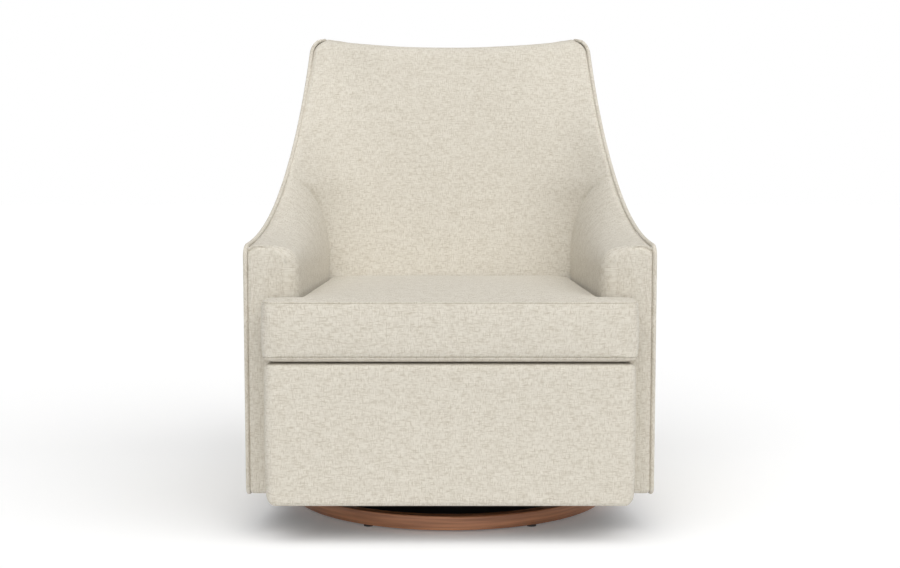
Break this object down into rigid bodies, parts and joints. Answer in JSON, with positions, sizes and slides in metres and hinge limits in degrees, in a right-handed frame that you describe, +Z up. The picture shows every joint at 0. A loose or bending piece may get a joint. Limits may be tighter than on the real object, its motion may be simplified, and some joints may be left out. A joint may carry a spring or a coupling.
{
  "type": "swivel glider chair",
  "caption": "Upholstered swivel glider armchair with swooping welted sides, a loose T-shaped seat cushion and a round walnut ring base.",
  "frame": {"origin": "on the floor, on the swivel axis, below the middle of the chair", "axes": "chair faces -Y, +X is the right-hand side seen from the front, +Z is up"},
  "size_m": [0.7612, 0.8396, 0.9622],
  "materials": {
    "linen_cover": "oatmeal slub weave, matt",
    "foam": "open cell foam",
    "deck_cloth": "plain cotton duck",
    "dust_cloth": "black spunbond cloth",
    "webbing": "woven strap",
    "walnut": "satin walnut stain",
    "black_plywood": "matt black paint",
    "plywood": "bare plywood",
    "hardwood": "bare hardwood",
    "nylon": "moulded nylon",
    "black_rubber": "moulded rubber",
    "zinc_steel": "zinc plated",
    "spring_steel": "oiled spring wire",
    "bearing_steel": "pressed race",
    "polished_steel": "polished balls",
    "black_steel": "black powder coat"
  },
  "bodies": {
    "base": {"base_ring": "walnut", "base_disc": "black_plywood", "floor_glides": "nylon", "base_screws": "zinc_steel", "bearing_lower_race": "bearing_steel", "king_bolt": "zinc_steel", "king_nut": "zinc_steel"},
    "ball_set": {"bearing_balls": "polished_steel", "ball_cage": "nylon"},
    "swivel_frame": {"bearing_upper_race": "bearing_steel", "swivel_plate": "black_steel", "swivel_bolts": "zinc_steel", "cross_channel_front": "black_steel", "cross_channel_rear": "black_steel", "stanchion_left": "black_steel", "stanchion_right": "black_steel", "upper_pivot_pins": "zinc_steel", "upper_pivot_bushes": "nylon"},
    "front_left_link": {"link_front_left": "black_steel"},
    "front_right_link": {"link_front_right": "black_steel"},
    "rear_left_link": {"link_rear_left": "black_steel"},
    "rear_right_link": {"link_rear_right": "black_steel"},
    "chair_body": {"inside_back": "linen_cover", "inside_arm_left": "linen_cover", "inside_arm_right": "linen_cover", "arm_front_left": "linen_cover", "arm_front_right": "linen_cover", "outside_arm_left": "linen_cover", "outside_arm_right": "linen_cover", "outside_back": "linen_cover", "front_border": "linen_cover", "side_welt_left": "linen_cover", "side_welt_right": "linen_cover", "seat_deck": "deck_cloth", "dust_cover": "dust_cloth", "back_webbing": "webbing", "glide_rail_left": "black_steel", "glide_rail_right": "black_steel", "lower_pivot_pins": "zinc_steel", "lower_pivot_bushes": "nylon", "glide_bumpers": "black_rubber", "rail_bolts": "zinc_steel", "rail_cleats": "hardwood", "side_frame_left": "plywood", "side_frame_right": "plywood", "arm_posts": "hardwood", "seat_front_rail": "hardwood", "seat_rear_rail": "hardwood", "back_lower_rail": "hardwood", "crest_rail": "hardwood", "corner_blocks": "hardwood", "front_board": "plywood", "front_returns": "plywood", "seat_springs": "spring_steel", "spring_clips": "zinc_steel"},
    "loose_cushion": {"seat_cushion": "linen_cover", "cushion_core": "foam"}
  },
  "joints": [
    {"name": "swivel", "type": "hinge", "parent": "base", "child": "swivel_frame", "pos_m": [0, 0, 0.031], "axis": [0, 0, 1], "continuous": true},
    {"name": "ball_roll", "type": "hinge", "parent": "base", "child": "ball_set", "pos_m": [0, 0, 0.031], "axis": [0, 0, 1], "continuous": true},
    {"name": "glide", "type": "hinge", "parent": "swivel_frame", "child": "front_left_link", "pos_m": [-0.198, -0.125, 0.23], "axis": [1, 0, 0], "range_deg": [-20, 20]},
    {"name": "front_right_swing", "type": "hinge", "parent": "swivel_frame", "child": "front_right_link", "pos_m": [0.198, -0.125, 0.23], "axis": [1, 0, 0], "range_deg": [-20, 20]},
    {"name": "rear_left_swing", "type": "hinge", "parent": "swivel_frame", "child": "rear_left_link", "pos_m": [-0.198, 0.125, 0.23], "axis": [1, 0, 0], "range_deg": [-20, 20]},
    {"name": "rear_right_swing", "type": "hinge", "parent": "swivel_frame", "child": "rear_right_link", "pos_m": [0.198, 0.125, 0.23], "axis": [1, 0, 0], "range_deg": [-20, 20]},
    {"name": "chair_hang", "type": "hinge", "parent": "front_left_link", "child": "chair_body", "pos_m": [-0.198, -0.125, 0.1], "axis": [1, 0, 0], "range_deg": [-20, 20]},
    {"name": "cushion_lift", "type": "slide", "parent": "chair_body", "child": "loose_cushion", "axis": [0, 0, 1], "range_m": [0, 0.22]}
  ],
  "couplings": [
    {"joint": "ball_roll", "follows": "swivel", "ratio": 0.5},
    {"joint": "front_right_swing", "follows": "glide", "ratio": 1},
    {"joint": "rear_left_swing", "follows": "glide", "ratio": 1},
    {"joint": "rear_right_swing", "follows": "glide", "ratio": 1},
    {"joint": "chair_hang", "follows": "glide", "ratio": -1}
  ]
}
